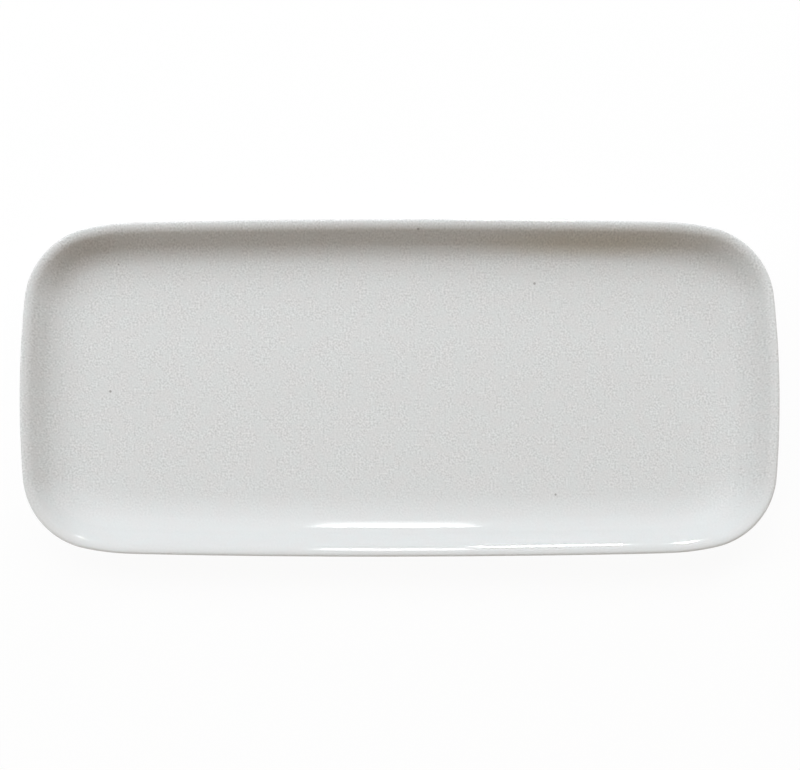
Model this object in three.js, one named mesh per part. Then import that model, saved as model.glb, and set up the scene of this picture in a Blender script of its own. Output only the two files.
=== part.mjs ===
// A shallow rectangular cake platter of glazed stoneware: a pressed clay body on a bare foot ring, the glaze
// that coats its face, rim and flank, and the separate patch of glaze on the base inside the foot ring.
// Units are millimetres, +Z is up, and the origin is on the table under the middle of the platter.
import * as THREE from "three";

// Plan, measured over the glazed rim
const LENGTH = 360;
const WIDTH = 161;
const LONG_SIDE_RADIUS = 5400;
const SHORT_SIDE_RADIUS = 490;
const CORNER_RADIUS = 41;
const LEAST_CORNER_RADIUS = 2;

// Section of the clay
const CLAY_WALL = 3.05;
const WALL_SLOPE = THREE.MathUtils.degToRad(52.5);
const RIM_OUTER_RADIUS = 0.65;
const MOST_RIM_SHARE = 0.9;

// The well, measured on the glaze: a cove under the wall, then a sweep that eases into the floor
const WELL_DEPTH = 15.2;
const COVE_RADIUS = 15;
const SWEEP_RADIUS = 55;
const SWEEP_SLOPE = THREE.MathUtils.degToRad(10.5);
const LEAST_WALL_RUN = 0.3;

// Foot ring, left bare where it meets the table
const FOOT_HEIGHT = 3.35;
const FOOT_WIDTH = 6;
const FOOT_FILLET = 1.2;
const FOOT_EDGE_RADIUS = 0.8;
const BARE_FOOT = 0.4;
const MOST_FILLET_SHARE = 0.8;

// Glaze coat, from the clay to its shining face, and the clearance under it
const GLAZE = 0.4;
const BOND_CLEARANCE = 0.02;

// Facets of each curve
const CORNER_STEPS = 8;
const LONG_SIDE_STEPS = 6;
const SHORT_SIDE_STEPS = 4;
const SWEEP_STEPS = 2;
const COVE_STEPS = 5;
const RIM_INNER_STEPS = 4;
const RIM_OUTER_STEPS = 3;
const RIM_UNDER_STEPS = 2;
const FILLET_STEPS = 2;
const QUARTER_TURN = Math.PI / 2;

// Sizes that follow from the ones above
const slopeSin = Math.sin(WALL_SLOPE);
const slopeCos = Math.cos(WALL_SLOPE);
const sweepSin = Math.sin(SWEEP_SLOPE);
const sweepCos = Math.cos(SWEEP_SLOPE);
const rimOuterRadius = Math.min(RIM_OUTER_RADIUS, (MOST_RIM_SHARE * CLAY_WALL) / (1 + slopeCos));
const rimInnerRadius = (CLAY_WALL - rimOuterRadius * (1 + slopeCos)) / (1 - slopeCos);
const flankLead = (rimInnerRadius - rimOuterRadius) * slopeSin;
const leastWallRun = LEAST_WALL_RUN + Math.max(0, -flankLead);
const sweepRadius = SWEEP_RADIUS + GLAZE;
const wallDepth = WELL_DEPTH - rimInnerRadius * (1 - slopeCos) - sweepRadius * (1 - sweepCos);
const coveLimit = (wallDepth - leastWallRun * slopeSin) / (sweepCos - slopeCos);
const coveRadius = Math.min(COVE_RADIUS + GLAZE, coveLimit);
const wallRun = (wallDepth - coveRadius * (sweepCos - slopeCos)) / slopeSin;
const flankRun = wallRun + flankLead;
const clayFloor = FOOT_HEIGHT + CLAY_WALL;
const wallInset = GLAZE + rimOuterRadius + rimInnerRadius * slopeSin + wallRun * slopeCos;
const floorInset = wallInset + coveRadius * (slopeSin - sweepSin) + sweepRadius * sweepSin;
const glazeLine = FOOT_EDGE_RADIUS + BARE_FOOT;
const footFillet = Math.min(FOOT_FILLET, MOST_FILLET_SHARE * (FOOT_HEIGHT - glazeLine));
const footFlat = FOOT_WIDTH - 2 * FOOT_EDGE_RADIUS;

// A smooth stroke of the section: straight runs and bends, each starting in the direction where the last ended.
// Every point keeps its heading, so that the air is always on the left of the stroke.
class Stroke {
  constructor(inset, height, heading) {
    this.heading = heading;
    this.points = [{ inset, height, heading }];
  }

  get last() {
    return this.points.at(-1);
  }

  run(length) {
    const { inset, height } = this.last;
    this.points.push({
      inset: inset - length * Math.cos(this.heading),
      height: height + length * Math.sin(this.heading),
      heading: this.heading,
    });
    return this;
  }

  // A positive turn bends to the left.
  bend(radius, turn, steps) {
    const side = Math.sign(turn);
    const { inset, height } = this.last;
    const centreInset = inset + side * radius * Math.sin(this.heading);
    const centreHeight = height + side * radius * Math.cos(this.heading);
    const from = this.heading;
    for (let step = 1; step <= steps; step++) {
      const heading = from + (turn * step) / steps;
      this.points.push({
        inset: centreInset - side * radius * Math.sin(heading),
        height: centreHeight - side * radius * Math.cos(heading),
        heading,
      });
    }
    this.heading = from + turn;
    return this;
  }
}

// The same stroke moved into the air by a coat's thickness.
function coated(points, thickness) {
  return points.map(({ inset, height, heading }) => ({
    inset: inset + thickness * Math.sin(heading),
    height: height + thickness * Math.cos(heading),
    heading,
  }));
}

// The platter's plan at a distance inside the rim: bowed sides joined by tangent corners, anticlockwise from +X.
function planAt(inset) {
  const halfLength = LENGTH / 2 - inset;
  const halfWidth = WIDTH / 2 - inset;
  const longRadius = LONG_SIDE_RADIUS - inset;
  const shortRadius = SHORT_SIDE_RADIUS - inset;
  const cornerRadius = Math.max(CORNER_RADIUS - inset, LEAST_CORNER_RADIUS);

  // The corner's centre lies where the corner is tangent to the arcs of both sides.
  const longCentre = new THREE.Vector2(0, halfWidth - longRadius);
  const shortCentre = new THREE.Vector2(halfLength - shortRadius, 0);
  const between = shortCentre.clone().sub(longCentre);
  const span = between.length();
  const longReach = longRadius - cornerRadius;
  const shortReach = shortRadius - cornerRadius;
  const along = (longReach ** 2 - shortReach ** 2 + span ** 2) / (2 * span);
  const aside = Math.sqrt(longReach ** 2 - along ** 2);
  between.normalize();
  const corner = new THREE.Vector2(between.y, -between.x)
    .multiplyScalar(aside)
    .addScaledVector(between, along)
    .add(longCentre);
  const shortEnd = corner.clone().sub(shortCentre).angle();
  const longEnd = corner.clone().sub(longCentre).angle();

  // One quarter of the plan, from the +X axis to the +Y axis, is mirrored into the other three.
  const arc = (centre, radius, from, to, steps) =>
    new THREE.EllipseCurve(centre.x, centre.y, radius, radius, from, to).getPoints(steps);
  const first = [
    ...arc(shortCentre, shortRadius, 0, shortEnd, SHORT_SIDE_STEPS / 2),
    ...arc(corner, cornerRadius, shortEnd, longEnd, CORNER_STEPS).slice(1),
    ...arc(longCentre, longRadius, longEnd, QUARTER_TURN, LONG_SIDE_STEPS / 2).slice(1),
  ];
  const second = first.slice(0, -1).reverse();
  const upper = [...first, ...second.map(({ x, y }) => new THREE.Vector2(-x, y))];
  const lower = upper.slice(1, -1).reverse();
  return [...upper, ...lower.map(({ x, y }) => new THREE.Vector2(x, -y))];
}

// Sweeps a section round the plan. The section runs from the centre line above the solid, round its edge and back
// to the centre line below, and flat caps close it on the centre line.
function sweptRoundPlan(section) {
  const rings = section.map(({ inset, height }) => planAt(inset).map(({ x, y }) => [x, y, height]));
  const count = rings[0].length;
  const positions = rings.flat(2);
  const topCentre = rings.length * count;
  const baseCentre = topCentre + 1;
  positions.push(0, 0, section[0].height, 0, 0, section.at(-1).height);

  const faces = [];
  for (let j = 0; j < count; j++) {
    const next = (j + 1) % count;
    faces.push(topCentre, j, next);
    for (let ring = 0; ring + 1 < rings.length; ring++) {
      const here = ring * count;
      const beyond = here + count;
      faces.push(here + j, beyond + j, beyond + next);
      faces.push(here + j, beyond + next, here + next);
    }
    const lastRing = topCentre - count;
    faces.push(baseCentre, lastRing + next, lastRing + j);
  }
  const geometry = new THREE.BufferGeometry();
  geometry.setAttribute("position", new THREE.Float32BufferAttribute(positions, 3));
  geometry.setIndex(faces);
  geometry.computeVertexNormals();
  return geometry;
}

// Clay under the face glaze: floor edge, sweep, cove, wall, rim, flank, belly and the outer face of the foot ring.
const outward = 0;
const faceClay = new Stroke(floorInset, clayFloor, outward)
  .bend(sweepRadius, SWEEP_SLOPE, SWEEP_STEPS)
  .bend(coveRadius, WALL_SLOPE - SWEEP_SLOPE, COVE_STEPS)
  .run(wallRun)
  .bend(rimInnerRadius, -WALL_SLOPE, RIM_INNER_STEPS)
  .bend(rimOuterRadius, -QUARTER_TURN, RIM_OUTER_STEPS)
  .bend(rimOuterRadius, WALL_SLOPE - QUARTER_TURN, RIM_UNDER_STEPS)
  .run(flankRun)
  .bend(coveRadius + CLAY_WALL, SWEEP_SLOPE - WALL_SLOPE, COVE_STEPS)
  .bend(footFillet, QUARTER_TURN - SWEEP_SLOPE, FILLET_STEPS);
faceClay.run(faceClay.last.height - glazeLine);

// Bare clay of the foot ring, from one glaze line to the other.
const bareFoot = new Stroke(faceClay.last.inset, faceClay.last.height, faceClay.heading)
  .run(BARE_FOOT)
  .bend(FOOT_EDGE_RADIUS, -QUARTER_TURN, FILLET_STEPS)
  .run(footFlat)
  .bend(FOOT_EDGE_RADIUS, -QUARTER_TURN, FILLET_STEPS)
  .run(BARE_FOOT);

// Clay under the base glaze: the inner face of the foot ring and the edge of the base.
const baseClay = new Stroke(bareFoot.last.inset, bareFoot.last.height, bareFoot.heading)
  .run(FOOT_HEIGHT - footFillet - glazeLine)
  .bend(footFillet, QUARTER_TURN, FILLET_STEPS);

const bodySection = [...faceClay.points, ...bareFoot.points.slice(1), ...baseClay.points.slice(1)];
const faceGlazeSection = [
  ...coated(faceClay.points, GLAZE),
  ...coated(faceClay.points, BOND_CLEARANCE).reverse(),
];
const baseGlazeSection = [
  ...coated(baseClay.points, BOND_CLEARANCE).reverse(),
  ...coated(baseClay.points, GLAZE),
];

const bareStoneware = new THREE.MeshStandardMaterial({ color: 0xcfc4b2, roughness: 0.9, metalness: 0 });
const whiteGlaze = new THREE.MeshStandardMaterial({ color: 0xd6d7d5, roughness: 0.12, metalness: 0 });

function piece(name, section, material) {
  const mesh = new THREE.Mesh(sweptRoundPlan(section), material);
  mesh.name = name;
  return mesh;
}

const platter = new THREE.Group();
platter.add(
  piece("stoneware_body", bodySection, bareStoneware),
  piece("face_glaze", faceGlazeSection, whiteGlaze),
  piece("base_glaze", baseGlazeSection, whiteGlaze),
);

export default platter;
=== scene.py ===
"""The looks of a cake platter in glazed stoneware, laid out as a Blender add-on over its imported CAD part."""

import math
from collections import namedtuple
from itertools import pairwise

import bmesh
import bpy
from bpy.props import FloatProperty, FloatVectorProperty, PointerProperty
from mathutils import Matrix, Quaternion, Vector


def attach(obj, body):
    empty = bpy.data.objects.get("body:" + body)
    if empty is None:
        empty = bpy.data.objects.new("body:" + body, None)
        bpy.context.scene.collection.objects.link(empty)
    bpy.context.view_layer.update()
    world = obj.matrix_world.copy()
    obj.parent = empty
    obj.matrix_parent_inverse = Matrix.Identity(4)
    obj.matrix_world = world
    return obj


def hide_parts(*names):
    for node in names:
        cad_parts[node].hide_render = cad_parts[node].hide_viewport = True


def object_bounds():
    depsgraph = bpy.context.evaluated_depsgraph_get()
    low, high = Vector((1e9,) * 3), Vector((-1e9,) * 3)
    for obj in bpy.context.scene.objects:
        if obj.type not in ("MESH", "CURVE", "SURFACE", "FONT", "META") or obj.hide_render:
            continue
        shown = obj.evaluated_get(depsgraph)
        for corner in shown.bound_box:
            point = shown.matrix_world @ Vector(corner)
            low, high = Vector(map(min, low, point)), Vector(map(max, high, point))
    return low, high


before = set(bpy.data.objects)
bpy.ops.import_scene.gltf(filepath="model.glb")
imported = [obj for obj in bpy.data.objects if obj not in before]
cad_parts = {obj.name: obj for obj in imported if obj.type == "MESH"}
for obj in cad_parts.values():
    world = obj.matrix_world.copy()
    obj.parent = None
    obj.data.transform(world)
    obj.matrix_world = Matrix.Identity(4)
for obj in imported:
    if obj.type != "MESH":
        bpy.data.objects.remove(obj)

bl_info = {
    "name": "Cake platter",
    "version": (1, 0, 0),
    "blender": (4, 5, 0),
    "location": "View3D > Sidebar > Platter",
    "description": "Models a glazed stoneware platter, its bare foot and a plain stage",
    "category": "Add Mesh",
}

MM = 0.001
CAD_LOW, CAD_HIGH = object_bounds()
CAD_SIZE = CAD_HIGH - CAD_LOW
QUARTER_TURN = math.pi / 2

# Facets of each curve, before subdivision
SHORT_SIDE_STEPS = 7
CORNER_STEPS = 16
EASE_STEPS = 4
LONG_SIDE_STEPS = 16
SWEEP_STEPS = 5
COVE_STEPS = 10
WALL_STEPS = 4
RIM_INNER_STEPS = 6
RIM_OUTER_STEPS = 5
RIM_UNDER_STEPS = 3
BELLY_STEPS = 8
FILLET_STEPS = 4

# Where the grids of the flat middles start on their edge, and distances too small to count
GRID_OFFSET = 3
TINY = 0.001 * MM
JOIN_GAP = 0.01 * MM

# Unevenness of the fired glaze: how broad each wave is, and how far it dips
SLOW_WAVE = 60 * MM
SLOW_DIP = 0.12 * MM
THUMB_WAVE = 20 * MM
THUMB_DIP = 0.05 * MM

# Share of the glaze's thickness that is modelled, so that its hidden side stays clear of the clay
COAT_SHARE = 0.5

# The glaze's mottle, with a grain a little coarser than the real one so that a picture shows it
GRAIN_SIZE = 0.92 * MM
GRAIN_DEPTH = 0.1 * MM
GRAIN_MIDDLE = 0.5

# The mottle's strength, which differs in patches and fades towards the near wall
PATCH_SIZE = 5 * MM
PATCH_WEAK = 0.35
PATCH_STRONG = 0.6
GRAIN_LEAST = 0.5
GRAIN_MOST = 1.25
GRAIN_GONE = -68 * MM
GRAIN_WHOLE = -36 * MM
GRAIN_LEFT = 0.12

# Faint tinges of the glaze, in clouds of pink and green
TINGE_SIZE = 8 * MM
TINGE_PINK = 0.35
TINGE_GREEN = 0.65

# A warmer tint laid over the right of the far wall, with a reach upwards so long that height has no say
WARM_PLACE = (92 * MM, 70 * MM, 0)
WARM_REACH = (78 * MM, 8.5 * MM, 1)
WARM_CORE = 0.1

# Iron specks: the middle of each and its reach
SPECKS = (
    ((-138.2 * MM, -0.4 * MM, 6.8 * MM), 0.8 * MM),
    ((64.8 * MM, 51.4 * MM, 6.8 * MM), 0.8 * MM),
    ((74.2 * MM, -50.1 * MM, 6.8 * MM), 0.7 * MM),
    ((-134.7 * MM, 60.7 * MM, 8.1 * MM), 0.5 * MM),
    ((9.0 * MM, 75.5 * MM, 20.7 * MM), 1.0 * MM),
)
SPECK_CORE = 0.5

# Surfaces of the glaze and the clay
GLAZE_MATERIAL = "fired_white_stoneware_glaze"
GLAZE_ROUGHNESS = 0.7
COAT_ROUGHNESS = 0.05
COAT_IOR = 1.5
CLAY_ROUGHNESS = 0.9
GRIT_SIZE = 0.6 * MM

# The ground, which glows, and the room with its dim warm fill
GROUND_SIZE = 6.0
GROUND_GAP = 0.05 * MM
GROUND_COLOUR = "#f9f9f9"
GLOW_SHARE = 0.93
ROOM_COLOUR = (0.131, 0.063, 0.0)
WHITE = (1.0, 1.0, 1.0)

# A panel in the room's far half: where it starts, is full and ends as it rises, and how far it reaches aside
PANEL_COLOUR = (0.95, 1.0, 1.05)
PANEL_START = math.radians(19)
PANEL_FULL = math.radians(61)
PANEL_FADING = math.radians(63)
PANEL_END = math.radians(105)
PANEL_SHIFT = 0.1
PANEL_REACH = 0.1
PANEL_REACH_END = 0.5

# All the lamps stand at one distance, and the panel and the tubes are turned a little from the platter
LAMP_DISTANCE = 1.5
LIGHT_TURN = math.radians(6)

# Tubes that light the matt white under the gloss
TUBE_COLOUR = (0.925, 1.0, 1.073)
TUBE_LIGHT = 4.62
TUBE_RIGHT_END = 0.225
TUBE_MIDDLE = 0.5
TUBE_ELEVATION = math.radians(55.1)
TUBE_LENGTH = 8.0
TUBE_HEIGHT = 1.9

# A window and a slit that the gloss mirrors
WINDOW_AZIMUTH = math.radians(180.25)
WINDOW_SILL = math.radians(25.6)
WINDOW_BREADTH = 0.132
WINDOW_BEAM = math.radians(3)
PANES = 7
PANE_RISE = math.radians(3.4)
PANE_LIGHT = 40.0
PANE_FADE = 0.7
SLIT_AZIMUTH = math.radians(175.2)
SLIT_ELEVATION = math.radians(2)
SLIT_BREADTH = 0.12
SLIT_HEIGHT = 0.06
SLIT_LIGHT = 340.0

# Low softboxes that it doesn't mirror
NEAR_BREADTH = 2.0
NEAR_LIGHT = 45.0
SIDE_BREADTH = 0.6
SIDE_HEIGHT = 0.25
LEFT_AZIMUTH = math.radians(290)
LEFT_ELEVATION = math.radians(8)
LEFT_LIGHT = 4.6
BACK_AZIMUTH = math.radians(150)
BACK_ELEVATION = math.radians(18)
BACK_LIGHT = 9.9

# The camera, whose sensor is in millimetres
IMAGE_WIDTH = 800
FOCAL_PIXELS = 3170
SENSOR_WIDTH = 36
CAMERA_DISTANCE = 1.5
CAMERA_ELEVATION = math.radians(83.6)
CAMERA_AIM = (0.2 * MM, 0.8 * MM, 0)
CAMERA_ROLL = math.radians(-0.08)


def linear(hex_colour):
    """An sRGB hex colour as the linear colour that shaders take."""
    channels = [int(hex_colour[i : i + 2], 16) / 255 for i in (1, 3, 5)]
    return [c / 12.92 if c <= 0.04045 else ((c + 0.055) / 1.055) ** 2.4 for c in channels]


class PlatterPlan(bpy.types.PropertyGroup):
    """Sizes of the platter seen from above, over the glazed rim."""

    length: FloatProperty(
        name="Length", description="Length over the rim", default=CAD_SIZE.x, unit="LENGTH"
    )
    width: FloatProperty(
        name="Width", description="Width over the rim", default=CAD_SIZE.y, unit="LENGTH"
    )
    long_side_radius: FloatProperty(
        name="Long side radius", description="Bow of the long sides", default=5400 * MM, unit="LENGTH"
    )
    short_side_radius: FloatProperty(
        name="Short side radius", description="Bow of the short sides", default=490 * MM, unit="LENGTH"
    )
    corner_radius: FloatProperty(
        name="Corner radius", description="Radius of the corners", default=37.5 * MM, unit="LENGTH"
    )
    ease_radius: FloatProperty(
        name="Ease radius", description="Curve from long side to corner", default=110 * MM, unit="LENGTH"
    )
    ease_start: FloatProperty(
        name="Ease start", description="From the middle to where it starts", default=127 * MM, unit="LENGTH"
    )


class PlatterSection(bpy.types.PropertyGroup):
    """Sizes of the platter cut across: clay, well, foot ring and glaze."""

    clay_wall: FloatProperty(
        name="Clay wall", description="Thickness of the clay", default=3.05 * MM, unit="LENGTH"
    )
    wall_slope: FloatProperty(
        name="Wall slope", description="Slope of the wall", default=math.radians(52.5), subtype="ANGLE"
    )
    rim_outer_radius: FloatProperty(
        name="Rim radius", description="Outer radius of the clay rim", default=0.65 * MM, unit="LENGTH"
    )
    well_depth: FloatProperty(
        name="Well depth", description="From the rim to the floor", default=15.2 * MM, unit="LENGTH"
    )
    cove_radius: FloatProperty(
        name="Cove radius", description="Curve under the wall", default=15 * MM, unit="LENGTH"
    )
    sweep_radius: FloatProperty(
        name="Sweep radius", description="Easy curve into the floor", default=55 * MM, unit="LENGTH"
    )
    sweep_slope: FloatProperty(
        name="Sweep slope",
        description="Slope between sweep and cove",
        default=math.radians(10.5),
        subtype="ANGLE",
    )
    foot_height: FloatProperty(
        name="Foot height", description="Height of the foot ring", default=3.35 * MM, unit="LENGTH"
    )
    foot_width: FloatProperty(
        name="Foot width", description="Width of the foot ring", default=6 * MM, unit="LENGTH"
    )
    foot_fillet: FloatProperty(
        name="Foot fillet", description="Curve from base to foot", default=1.2 * MM, unit="LENGTH"
    )
    foot_edge_radius: FloatProperty(
        name="Foot edge", description="Round of the foot's edges", default=0.8 * MM, unit="LENGTH"
    )
    bare_foot: FloatProperty(
        name="Bare foot", description="Bare clay above the foot's edge", default=0.4 * MM, unit="LENGTH"
    )
    glaze: FloatProperty(
        name="Glaze", description="Thickness of the glaze", default=0.4 * MM, unit="LENGTH"
    )


class PlatterColours(bpy.types.PropertyGroup):
    """Colours of the platter's glaze and clay."""

    glaze: FloatVectorProperty(
        name="Glaze", description="White of the glaze", default=linear("#e4e5e4"), subtype="COLOR"
    )
    glaze_thin: FloatVectorProperty(
        name="Thin glaze",
        description="Grey between the glaze's grains",
        default=linear("#c6c7c6"),
        subtype="COLOR",
    )
    pink: FloatVectorProperty(
        name="Pink", description="Tinge of the warmer patches", default=linear("#fffefe"), subtype="COLOR"
    )
    green: FloatVectorProperty(
        name="Green", description="Tinge of the cooler patches", default=linear("#feffff"), subtype="COLOR"
    )
    # A warm tint multiplied over the right of the far wall
    warm: FloatVectorProperty(
        name="Warm",
        description="Clay's warmth through thin glaze",
        default=linear("#f4efe5"),
        subtype="COLOR",
    )
    speck: FloatVectorProperty(
        name="Speck", description="Iron specks in the glaze", default=linear("#a3a2a0"), subtype="COLOR"
    )
    clay: FloatVectorProperty(
        name="Clay", description="Bare fired clay", default=linear("#cfc4b2"), subtype="COLOR"
    )
    clay_grit: FloatVectorProperty(
        name="Clay grit", description="Grit in the bare clay", default=linear("#a8987f"), subtype="COLOR"
    )


SectionPoint = namedtuple("SectionPoint", "inset height heading")


class Stroke:
    """A smooth stroke of the section: runs and bends, each starting in the direction where the last ended.

    The air is on the left of the stroke, and every point keeps its heading.
    """

    def __init__(self, start):
        self.points = [start]

    def run(self, length, steps=1):
        """Go straight on."""
        step = length / steps
        for _ in range(steps):
            inset, height, heading = self.points[-1]
            self.points.append(
                SectionPoint(
                    inset - step * math.cos(heading), height + step * math.sin(heading), heading
                )
            )

    def bend(self, radius, turn, steps):
        """Turn left, or right where the turn is negative."""
        inset, height, heading = self.points[-1]
        reach = math.copysign(radius, turn)
        centre_inset = inset + reach * math.sin(heading)
        centre_height = height + reach * math.cos(heading)
        for step in range(1, steps + 1):
            turned = heading + turn * step / steps
            self.points.append(
                SectionPoint(
                    centre_inset - reach * math.sin(turned), centre_height - reach * math.cos(turned), turned
                )
            )


def coated(points, thickness):
    """The same stroke moved into the air by a coat's thickness."""
    return [
        SectionPoint(
            point.inset + thickness * math.sin(point.heading),
            point.height + thickness * math.cos(point.heading),
            point.heading,
        )
        for point in points
    ]


def clay_strokes(section):
    """The clay's section as four strokes, end to end: face, flank, bare foot and base."""
    slope = section.wall_slope
    ease = section.sweep_slope
    rim_outer = section.rim_outer_radius
    rim_inner = (section.clay_wall - rim_outer * (1 + math.cos(slope))) / (1 - math.cos(slope))
    cove = section.cove_radius + section.glaze
    sweep = section.sweep_radius + section.glaze
    rim_rise = rim_inner * (1 - math.cos(slope))
    cove_rise = cove * (math.cos(ease) - math.cos(slope))
    sweep_rise = sweep * (1 - math.cos(ease))
    wall_run = (section.well_depth - rim_rise - cove_rise - sweep_rise) / math.sin(slope)
    flank_run = wall_run + (rim_inner - rim_outer) * math.sin(slope)
    wall_inset = section.glaze + rim_outer + rim_inner * math.sin(slope) + wall_run * math.cos(slope)
    floor_inset = wall_inset + cove * (math.sin(slope) - math.sin(ease)) + sweep * math.sin(ease)
    glaze_line = section.foot_edge_radius + section.bare_foot
    foot_flat = section.foot_width - 2 * section.foot_edge_radius

    face = Stroke(SectionPoint(floor_inset, section.foot_height + section.clay_wall, 0))
    face.bend(sweep, ease, SWEEP_STEPS)
    face.bend(cove, slope - ease, COVE_STEPS)
    face.run(wall_run, WALL_STEPS)
    face.bend(rim_inner, -slope, RIM_INNER_STEPS)
    face.bend(rim_outer, -QUARTER_TURN, RIM_OUTER_STEPS)

    flank = Stroke(face.points[-1])
    flank.bend(rim_outer, slope - QUARTER_TURN, RIM_UNDER_STEPS)
    flank.run(flank_run, WALL_STEPS)
    flank.bend(cove + section.clay_wall, ease - slope, BELLY_STEPS)
    flank.bend(section.foot_fillet, QUARTER_TURN - ease, FILLET_STEPS)
    flank.run(flank.points[-1].height - glaze_line)

    bare_foot = Stroke(flank.points[-1])
    bare_foot.run(section.bare_foot)
    bare_foot.bend(section.foot_edge_radius, -QUARTER_TURN, FILLET_STEPS)
    bare_foot.run(foot_flat)
    bare_foot.bend(section.foot_edge_radius, -QUARTER_TURN, FILLET_STEPS)
    bare_foot.run(section.bare_foot)

    base = Stroke(bare_foot.points[-1])
    base.run(section.foot_height - section.foot_fillet - glaze_line)
    base.bend(section.foot_fillet, QUARTER_TURN, FILLET_STEPS)
    return face.points, flank.points, bare_foot.points, base.points


def plan_arcs(plan):
    """The arcs of a quarter of the plan, from +X to +Y: each one's centre, where it ends and its steps.

    They are the same for every inset, because the plan narrows by the same distance all round.
    """
    lean = math.asin(plan.ease_start / plan.long_side_radius)
    to_ease = Vector((math.sin(lean), math.cos(lean)))
    long_centre = Vector((0, plan.width / 2 - plan.long_side_radius))
    ease_centre = long_centre + (plan.long_side_radius - plan.ease_radius) * to_ease
    short_centre = Vector((plan.length / 2 - plan.short_side_radius, 0))

    # The corner's centre lies where the corner is tangent to the easing arc and to the short side.
    between = short_centre - ease_centre
    span = between.length
    between.normalize()
    ease_reach = plan.ease_radius - plan.corner_radius
    short_reach = plan.short_side_radius - plan.corner_radius
    along = (ease_reach**2 - short_reach**2 + span**2) / (2 * span)
    aside = math.sqrt(ease_reach**2 - along**2)
    corner = ease_centre + between * along + Vector((between.y, -between.x)) * aside
    short_end = math.atan2(corner.y - short_centre.y, corner.x - short_centre.x)
    corner_end = math.atan2(corner.y - ease_centre.y, corner.x - ease_centre.x)
    return (
        (short_centre, short_end, SHORT_SIDE_STEPS),
        (corner, corner_end, CORNER_STEPS),
        (ease_centre, QUARTER_TURN - lean, EASE_STEPS),
        (long_centre, QUARTER_TURN, LONG_SIDE_STEPS),
    )


def apply_modifier(piece, kind, **settings):
    """Add a modifier to a piece in object mode and apply it."""
    modifier = piece.modifiers.new(kind.title(), kind)
    for name, value in settings.items():
        setattr(modifier, name, value)
    bpy.ops.object.modifier_apply(modifier=modifier.name)


def draw_plan(name, plan, start):
    """Draw the plan at a section point as one face, left selected in edit mode.

    One vertex is spun round the centres of the side and corner arcs, and that quarter is mirrored.
    """
    bpy.ops.object.select_all(action="DESELECT")
    bpy.ops.mesh.primitive_plane_add(size=MM, enter_editmode=True)
    piece = bpy.context.object
    piece.name = name
    piece.data.name = name
    bpy.ops.mesh.merge(type="CENTER")
    bpy.ops.transform.translate(value=(plan.length / 2 - start.inset, 0, start.height))
    angle = 0
    for centre, end, steps in plan_arcs(plan):
        bpy.ops.mesh.spin(steps=steps, angle=angle - end, center=(*centre, start.height), axis=(0, 0, 1))
        angle = end
    bpy.ops.object.mode_set(mode="OBJECT")
    apply_modifier(piece, "MIRROR", use_axis=(True, True, False), merge_threshold=JOIN_GAP)
    bpy.ops.object.mode_set(mode="EDIT")
    bpy.ops.mesh.select_all(action="SELECT")
    bpy.ops.mesh.edge_face_add()
    return piece


def turn_face(piece, upright):
    """Turn the selected face over if it doesn't look the way asked: 1 is up, -1 is down."""
    piece.update_from_editmode()
    normal = next(face.normal for face in piece.data.polygons if face.select)
    if normal.z * upright < 0:
        bpy.ops.mesh.flip_normals()


def shape_along(piece, points, upright):
    """Carry the selected flat face along a stroke: insets where it narrows, extrusions where it doesn't."""
    turn_face(piece, upright)
    for here, beyond in pairwise(points):
        narrowing = beyond.inset - here.inset
        rise = beyond.height - here.height
        if narrowing > TINY:
            bpy.ops.mesh.inset(thickness=narrowing, depth=rise * upright)
        else:
            bpy.ops.mesh.extrude_region_move(TRANSFORM_OT_translate={"value": (0, 0, rise)})


def select_open_ring(piece, height):
    """Select the open edge that lies at one height."""
    mesh = bmesh.from_edit_mesh(piece.data)
    for vertex in mesh.verts:
        vertex.select_set(vertex.is_boundary and abs(vertex.co.z - height) < TINY)
    mesh.select_flush(True)
    bmesh.update_edit_mesh(piece.data)


def fill_middle(piece, height):
    """Swap the selected face for a grid whose four corners lie in the middle of the plan's corners."""
    bpy.ops.mesh.delete(type="ONLY_FACE")
    select_open_ring(piece, height)
    bpy.ops.mesh.fill_grid(span=2 * (LONG_SIDE_STEPS + EASE_STEPS) + CORNER_STEPS, offset=GRID_OFFSET)


def settle(piece):
    """Let the glaze dip in slow waves, as it does when it runs and sets in the kiln."""
    for name, breadth, dip in (("slow_wave", SLOW_WAVE, SLOW_DIP), ("thumb_wave", THUMB_WAVE, THUMB_DIP)):
        texture = bpy.data.textures.new(name, "CLOUDS")
        texture.noise_scale = breadth
        texture.noise_depth = 0
        apply_modifier(
            piece, "DISPLACE", texture=texture, texture_coords="LOCAL", strength=dip, mid_level=1.0
        )


def shown(sockets, name=None):
    """The first socket in use, or the first with a name."""
    return next(socket for socket in sockets if socket.enabled and name in (None, socket.name))


def add_node(tree, kind, links=None, **settings):
    """Add a node with its settings, and fill its inputs with values, sockets or other nodes."""
    node = tree.nodes.new(kind)
    for name, value in settings.items():
        setattr(node, name, value)
    for name, value in (links or {}).items():
        socket = node.inputs[name] if isinstance(name, int) else shown(node.inputs, name)
        if isinstance(value, bpy.types.Node):
            value = shown(value.outputs)
        if isinstance(value, bpy.types.NodeSocket):
            tree.links.new(value, socket)
        else:
            socket.default_value = value
    return node


def blend(tree, share, first, second, kind="RGBA", **settings):
    """Mix two values or colours by a share."""
    links = {"Factor": share, "A": first, "B": second}
    return add_node(tree, "ShaderNodeMix", links, data_type=kind, **settings)


def maths(tree, operation, *values):
    """Work out one value from one or two others."""
    return add_node(tree, "ShaderNodeMath", dict(enumerate(values)), operation=operation)


def product(tree, first, second):
    """Two values multiplied."""
    return maths(tree, "MULTIPLY", first, second)


def ramp(tree, value, start, end, low, high):
    """A soft step from one value to another."""
    return add_node(
        tree,
        "ShaderNodeMapRange",
        {"Value": value, "From Min": start, "From Max": end, "To Min": low, "To Max": high},
        interpolation_type="SMOOTHSTEP",
    )


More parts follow.
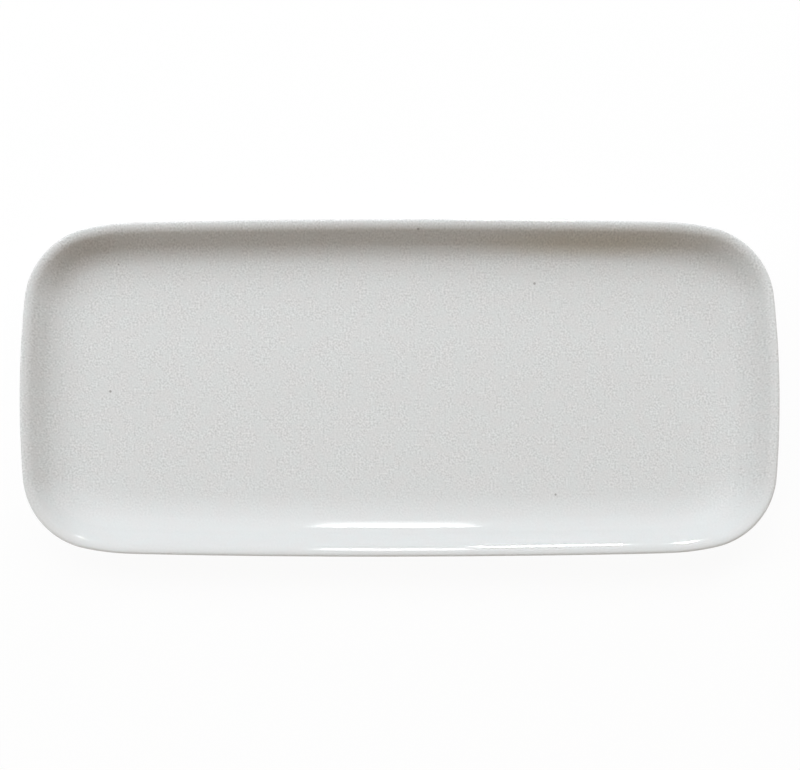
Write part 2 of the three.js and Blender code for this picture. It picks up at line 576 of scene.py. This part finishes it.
def clouds(tree, place, size, detail, **settings):
    """A pattern of soft clouds of about one size."""
    links = {"Vector": place, "Scale": 1 / size, "Detail": detail}
    return add_node(tree, "ShaderNodeTexNoise", links, **settings)


def spot(tree, place, middle, reach, core):
    """1 in the core of a spot, which is a share of its reach along each axis, fading to 0 at its edge."""
    aside = add_node(tree, "ShaderNodeVectorMath", {0: place, 1: middle}, operation="SUBTRACT")
    shares = add_node(tree, "ShaderNodeVectorMath", {0: aside, 1: reach}, operation="DIVIDE")
    distance = add_node(tree, "ShaderNodeVectorMath", {0: shares}, operation="LENGTH")
    return ramp(tree, distance.outputs["Value"], core, 1.0, 1.0, 0.0)


def opaque(colour):
    """A linear colour with full alpha, as node sockets take it."""
    return (*colour, 1)


def new_material(name):
    """An empty node material with its output."""
    material = bpy.data.materials.new(name)
    material.use_nodes = True
    tree = material.node_tree
    tree.nodes.clear()
    return material, tree, tree.nodes.new("ShaderNodeOutputMaterial")


def mottle_strength(tree, place):
    """How strong the glaze's mottle is from place to place."""
    patch = clouds(tree, place, PATCH_SIZE, detail=1)
    across = add_node(tree, "ShaderNodeSeparateXYZ", {"Vector": place}).outputs["Y"]
    return product(
        tree,
        ramp(tree, patch, PATCH_WEAK, PATCH_STRONG, GRAIN_LEAST, GRAIN_MOST),
        ramp(tree, across, GRAIN_GONE, GRAIN_WHOLE, GRAIN_LEFT, 1.0),
    )


def glaze_colour(tree, place, mottle, colours):
    """The glaze's white and grey, with its tinges, the warm stretch and the iron specks laid over them."""
    colour = blend(tree, mottle, opaque(colours.glaze_thin), opaque(colours.glaze))
    tinge = ramp(tree, clouds(tree, place, TINGE_SIZE, detail=2), TINGE_PINK, TINGE_GREEN, 0.0, 1.0)
    tint = blend(tree, tinge, opaque(colours.pink), opaque(colours.green))
    colour = blend(tree, 1.0, colour, tint, blend_type="MULTIPLY")
    # A warmer tint multiplied over the right of the far wall
    warmth = spot(tree, place, WARM_PLACE, WARM_REACH, WARM_CORE)
    colour = blend(tree, warmth, colour, opaque(colours.warm), blend_type="MULTIPLY")
    for middle, reach in SPECKS:
        speck = spot(tree, place, middle, (reach, reach, reach), SPECK_CORE)
        colour = blend(tree, speck, colour, opaque(colours.speck))
    return colour


def white_glaze(colours):
    """Stoneware glaze, sprayed and fired glossy.

    To the eye it is a clear wet coat over white. Under the coat small bubbles and crystals make a fine wormy
    mottle, stronger in some patches than in others, with a breath of pink or green and a few iron specks.
    The glaze ran thick along the near wall, where the mottle fades. A warmer tint is laid over the right of
    the far wall.
    """
    material, tree, output = new_material(GLAZE_MATERIAL)
    place = add_node(tree, "ShaderNodeTexCoord").outputs["Object"]
    grain = clouds(tree, place, GRAIN_SIZE, detail=0, noise_dimensions="2D")
    strength = mottle_strength(tree, place)
    mottle = blend(tree, strength, GRAIN_MIDDLE, grain, "FLOAT", clamp_factor=False)
    relief = add_node(
        tree, "ShaderNodeBump", {"Height": grain, "Strength": strength, "Distance": GRAIN_DEPTH}
    )
    shader = add_node(
        tree,
        "ShaderNodeBsdfPrincipled",
        {
            "Base Color": glaze_colour(tree, place, mottle, colours),
            "Normal": relief,
            "Roughness": GLAZE_ROUGHNESS,
            "Specular IOR Level": 0.0,
            "Coat Weight": 1.0,
            "Coat Roughness": COAT_ROUGHNESS,
            "Coat IOR": COAT_IOR,
        },
    )
    tree.links.new(shader.outputs["BSDF"], output.inputs["Surface"])
    return material


def bare_clay(colours):
    """Stoneware clay, wiped bare and fired: dry and gritty, with no shine."""
    material, tree, output = new_material("bare_fired_stoneware")
    place = add_node(tree, "ShaderNodeTexCoord").outputs["Object"]
    grit = clouds(tree, place, GRIT_SIZE, detail=3)
    colour = blend(tree, grit, opaque(colours.clay_grit), opaque(colours.clay))
    shader = add_node(
        tree, "ShaderNodeBsdfPrincipled", {"Base Color": colour, "Roughness": CLAY_ROUGHNESS}
    )
    tree.links.new(shader.outputs["BSDF"], output.inputs["Surface"])
    return material


def finish_piece(piece, node, material):
    """Give a modelled piece its material and put it in the place of its CAD node."""
    bpy.ops.object.shade_smooth()
    piece.data.materials.append(material)
    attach(piece, "root")
    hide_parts(node)


class PLATTER_OT_face_glaze(bpy.types.Operator):
    """Model the coat of glaze over the floor, wall, rim and flank"""

    bl_idname = "platter.face_glaze"
    bl_label = "Face glaze"

    def execute(self, context):
        plan = context.scene.platter_plan
        section = context.scene.platter_section
        face, flank, _, _ = clay_strokes(section)
        upper = coated(reversed(face), section.glaze)
        piece = draw_plan("face_glaze_coat", plan, upper[0])
        shape_along(piece, upper, upright=1)
        fill_middle(piece, upper[-1].height)
        select_open_ring(piece, upper[0].height)
        bpy.ops.mesh.edge_face_add()
        shape_along(piece, coated(flank, section.glaze), upright=-1)
        bpy.ops.mesh.delete(type="ONLY_FACE")
        bpy.ops.object.mode_set(mode="OBJECT")
        apply_modifier(piece, "SUBSURF", levels=1, render_levels=1)
        settle(piece)
        apply_modifier(piece, "SOLIDIFY", thickness=section.glaze * COAT_SHARE, offset=-1)
        finish_piece(piece, "face_glaze", white_glaze(context.scene.platter_colours))
        return {"FINISHED"}


class PLATTER_OT_base_glaze(bpy.types.Operator):
    """Model the patch of glaze on the base inside the foot ring"""

    bl_idname = "platter.base_glaze"
    bl_label = "Base glaze"

    def execute(self, context):
        plan = context.scene.platter_plan
        section = context.scene.platter_section
        _, _, _, base = clay_strokes(section)
        lower = coated(base, section.glaze)
        piece = draw_plan("base_glaze_coat", plan, lower[0])
        shape_along(piece, lower, upright=-1)
        fill_middle(piece, lower[-1].height)
        bpy.ops.object.mode_set(mode="OBJECT")
        settle(piece)
        apply_modifier(piece, "SOLIDIFY", thickness=section.glaze * COAT_SHARE, offset=-1)
        finish_piece(piece, "base_glaze", bpy.data.materials[GLAZE_MATERIAL])
        return {"FINISHED"}


class PLATTER_OT_clay_body(bpy.types.Operator):
    """Model the clay body, whose foot ring is left bare"""

    bl_idname = "platter.clay_body"
    bl_label = "Clay body"

    def execute(self, context):
        plan = context.scene.platter_plan
        section = context.scene.platter_section
        face, flank, bare_foot, base = clay_strokes(section)
        upper = list(reversed(face))
        piece = draw_plan("stoneware_clay_body", plan, upper[0])
        shape_along(piece, upper, upright=1)
        fill_middle(piece, upper[-1].height)
        select_open_ring(piece, upper[0].height)
        bpy.ops.mesh.edge_face_add()
        shape_along(piece, [*flank, *bare_foot[1:], *base[1:]], upright=-1)
        fill_middle(piece, base[-1].height)
        bpy.ops.object.mode_set(mode="OBJECT")
        finish_piece(piece, "stoneware_body", bare_clay(context.scene.platter_colours))
        return {"FINISHED"}


def white_ground():
    """A light table of white acrylic: it glows evenly and keeps a faint shadow."""
    material, tree, output = new_material("lit_white_acrylic")
    acrylic = add_node(tree, "ShaderNodeBsdfDiffuse", {"Color": opaque(linear(GROUND_COLOUR))})
    glow = add_node(tree, "ShaderNodeEmission", {"Color": opaque(WHITE), "Strength": 1.0})
    mixed = add_node(tree, "ShaderNodeMixShader", {"Fac": GLOW_SHARE, 1: acrylic, 2: glow})
    tree.links.new(mixed.outputs["Shader"], output.inputs["Surface"])
    return material


def add_ground():
    """Lay the light table just under the foot."""
    bpy.ops.object.select_all(action="DESELECT")
    bpy.ops.mesh.primitive_plane_add(size=GROUND_SIZE, location=(0, 0, CAD_LOW.z - GROUND_GAP))
    ground = bpy.context.object
    ground.name = "white_ground"
    ground.data.materials.append(white_ground())


def seen_directly(tree):
    """1 for what the camera, a gloss or a glass sees, 0 for light on its way to a matt surface."""
    path = add_node(tree, "ShaderNodeLightPath").outputs
    mirrored = maths(tree, "MAXIMUM", path["Is Glossy Ray"], path["Is Transmission Ray"])
    return maths(tree, "MAXIMUM", path["Is Camera Ray"], mirrored)


def soft_room():
    """A white studio with a dim warm fill, whose far half holds a long diffusing panel.

    Light on its way to a matt surface finds only the fill and the panel. The gloss mirrors the panel and, in
    the fill's place, the white walls.
    """
    world = bpy.data.worlds.new("soft_room")
    world.use_nodes = True
    tree = world.node_tree
    tree.nodes.clear()
    place = add_node(tree, "ShaderNodeTexCoord").outputs["Generated"]
    turned = add_node(
        tree, "ShaderNodeVectorRotate", {"Vector": place, "Angle": -LIGHT_TURN}, rotation_type="Z_AXIS"
    )
    axes = add_node(tree, "ShaderNodeSeparateXYZ", {"Vector": turned}).outputs
    angle = maths(tree, "ARCTAN2", axes["Z"], axes["Y"])
    aside = maths(tree, "ABSOLUTE", maths(tree, "ADD", axes["X"], PANEL_SHIFT))
    height = product(
        tree,
        ramp(tree, angle, PANEL_START, PANEL_FULL, 0.0, 1.0),
        ramp(tree, angle, PANEL_FADING, PANEL_END, 1.0, 0.0),
    )
    share = product(tree, height, ramp(tree, aside, PANEL_REACH, PANEL_REACH_END, 1.0, 0.0))
    fill = add_node(tree, "ShaderNodeBackground", {"Color": opaque(ROOM_COLOUR), "Strength": 1.0})
    white = add_node(tree, "ShaderNodeBackground", {"Color": opaque(WHITE), "Strength": 1.0})
    panel = add_node(tree, "ShaderNodeBackground", {"Color": opaque(PANEL_COLOUR), "Strength": share})
    walls = add_node(tree, "ShaderNodeMixShader", {"Fac": seen_directly(tree), 1: fill, 2: white})
    whole = add_node(tree, "ShaderNodeAddShader", {0: walls, 1: panel})
    add_node(tree, "ShaderNodeOutputWorld", {"Surface": whole})
    return world


def direction(azimuth, elevation):
    """A direction away from the platter: azimuth 0 is to the near side, a quarter turn to the right."""
    level = math.cos(elevation)
    return Vector((math.sin(azimuth) * level, -math.cos(azimuth) * level, math.sin(elevation)))


def add_lamp(name, aim, azimuth, elevation, breadth, height, radiance):
    """A softbox that looks at a point, out of the camera's sight."""
    lamp = bpy.data.lights.new(name, "AREA")
    lamp.shape = "RECTANGLE"
    lamp.size = breadth
    lamp.size_y = height
    lamp.energy = math.pi * breadth * height * radiance
    away = direction(azimuth, elevation)
    softbox = bpy.data.objects.new(name, lamp)
    softbox.location = aim + away * LAMP_DISTANCE
    softbox.rotation_euler = (-away).to_track_quat("-Z", "Y").to_euler()
    softbox.visible_camera = False
    bpy.context.scene.collection.objects.link(softbox)
    return softbox


def add_tubes(aim):
    """A row of tubes behind a diffuser, too soft for the gloss to mirror.

    It is brightest along its middle and fades from its left end to its right one.
    """
    azimuth = math.pi + LIGHT_TURN
    softbox = add_lamp("tubes", aim, azimuth, TUBE_ELEVATION, TUBE_LENGTH, TUBE_HEIGHT, TUBE_LIGHT)
    softbox.visible_glossy = False
    softbox.data.color = TUBE_COLOUR
    softbox.data.use_nodes = True
    tree = softbox.data.node_tree
    tree.nodes.clear()
    place = add_node(tree, "ShaderNodeNewGeometry").outputs["Parametric"]
    axes = add_node(tree, "ShaderNodeSeparateXYZ", {"Vector": place}).outputs
    height = product(
        tree,
        ramp(tree, axes["Y"], 0.0, TUBE_MIDDLE, 0.0, 1.0),
        ramp(tree, axes["Y"], TUBE_MIDDLE, 1.0, 1.0, 0.0),
    )
    length = blend(tree, axes["X"], TUBE_RIGHT_END, 1.0, "FLOAT")
    glow = add_node(tree, "ShaderNodeEmission", {"Strength": product(tree, height, length)})
    add_node(tree, "ShaderNodeOutputLight", {"Surface": glow})


def add_windows(near_wall):
    """Openings that only the gloss mirrors: a window of panes that fades upwards, and a low slit beside it.

    Grids over the panes keep their light to the middle of the near wall. The well's far wall hides the slit
    from the cove, so that just the near rim mirrors it.
    """
    # A lamp with a narrow beam keeps its power and so gets brighter, which this share undoes.
    beam_share = 1 - WINDOW_BEAM / math.tan(WINDOW_BEAM)
    for pane_number in range(PANES):
        pane = add_lamp(
            "pane",
            near_wall,
            WINDOW_AZIMUTH,
            WINDOW_SILL + (pane_number + 0.5) * PANE_RISE,
            WINDOW_BREADTH,
            LAMP_DISTANCE * PANE_RISE,
            PANE_LIGHT * PANE_FADE**pane_number * beam_share,
        )
        pane.data.spread = 2 * WINDOW_BEAM
        pane.visible_diffuse = False
    slit = add_lamp("slit", near_wall, SLIT_AZIMUTH, SLIT_ELEVATION, SLIT_BREADTH, SLIT_HEIGHT, SLIT_LIGHT)
    slit.visible_diffuse = False


def add_fills(middle):
    """Low softboxes that the gloss doesn't mirror.

    One lights the outside of the near rim, one the far right corner and one, from behind, the left and near
    walls.
    """
    near = add_lamp("near_fill", middle / 2, 0, 0, NEAR_BREADTH, CAD_HIGH.z, NEAR_LIGHT)
    left = add_lamp(
        "left_fill", middle, LEFT_AZIMUTH, LEFT_ELEVATION, SIDE_BREADTH, SIDE_HEIGHT, LEFT_LIGHT
    )
    back = add_lamp(
        "back_fill", middle, BACK_AZIMUTH, BACK_ELEVATION, SIDE_BREADTH, SIDE_HEIGHT, BACK_LIGHT
    )
    for softbox in (near, left, back):
        softbox.visible_glossy = False
        softbox.data.color = TUBE_COLOUR


def add_camera(middle):
    """A camera that looks down on the platter from a little to its near side."""
    camera = bpy.data.cameras.new("camera")
    camera.sensor_width = SENSOR_WIDTH
    camera.lens = FOCAL_PIXELS * SENSOR_WIDTH / IMAGE_WIDTH
    away = direction(0, CAMERA_ELEVATION)
    rolled = (-away).to_track_quat("-Z", "Y") @ Quaternion((0, 0, 1), CAMERA_ROLL)
    viewer = bpy.data.objects.new("camera", camera)
    viewer.location = middle + Vector(CAMERA_AIM) + away * CAMERA_DISTANCE
    viewer.rotation_euler = rolled.to_euler()
    bpy.context.scene.collection.objects.link(viewer)
    return viewer


class PLATTER_OT_stage(bpy.types.Operator):
    """Set out the white ground, the soft studio light and the camera"""

    bl_idname = "platter.stage"
    bl_label = "Stage"

    def execute(self, context):
        scene = context.scene
        middle = Vector((0, 0, CAD_HIGH.z))
        scene.view_settings.view_transform = "Standard"
        add_ground()
        scene.world = soft_room()
        add_tubes(middle)
        add_windows(Vector((0, CAD_LOW.y, CAD_HIGH.z)))
        add_fills(middle)
        scene.camera = add_camera(middle)
        return {"FINISHED"}


class PLATTER_PT_panel(bpy.types.Panel):
    """The platter's sizes and colours, and buttons for its pieces and its stage"""

    bl_idname = "PLATTER_PT_panel"
    bl_label = "Cake platter"
    bl_space_type = "VIEW_3D"
    bl_region_type = "UI"
    bl_category = "Platter"

    def draw(self, context):
        scene = context.scene
        for settings in (scene.platter_plan, scene.platter_section, scene.platter_colours):
            box = self.layout.box()
            for name in settings.__annotations__:
                box.prop(settings, name)
        for operator in PIECE_OPERATORS:
            self.layout.operator(operator.bl_idname)


PIECE_OPERATORS = (PLATTER_OT_face_glaze, PLATTER_OT_base_glaze, PLATTER_OT_clay_body, PLATTER_OT_stage)
CLASSES = (PlatterPlan, PlatterSection, PlatterColours, *PIECE_OPERATORS, PLATTER_PT_panel)


def register():
    for cls in CLASSES:
        bpy.utils.register_class(cls)
    bpy.types.Scene.platter_plan = PointerProperty(type=PlatterPlan)
    bpy.types.Scene.platter_section = PointerProperty(type=PlatterSection)
    bpy.types.Scene.platter_colours = PointerProperty(type=PlatterColours)


def unregister():
    del bpy.types.Scene.platter_colours
    del bpy.types.Scene.platter_section
    del bpy.types.Scene.platter_plan
    for cls in reversed(CLASSES):
        bpy.utils.unregister_class(cls)


def main():
    register()
    bpy.ops.platter.face_glaze()
    bpy.ops.platter.base_glaze()
    bpy.ops.platter.clay_body()
    bpy.ops.platter.stage()


if __name__ == "__main__":
    main()
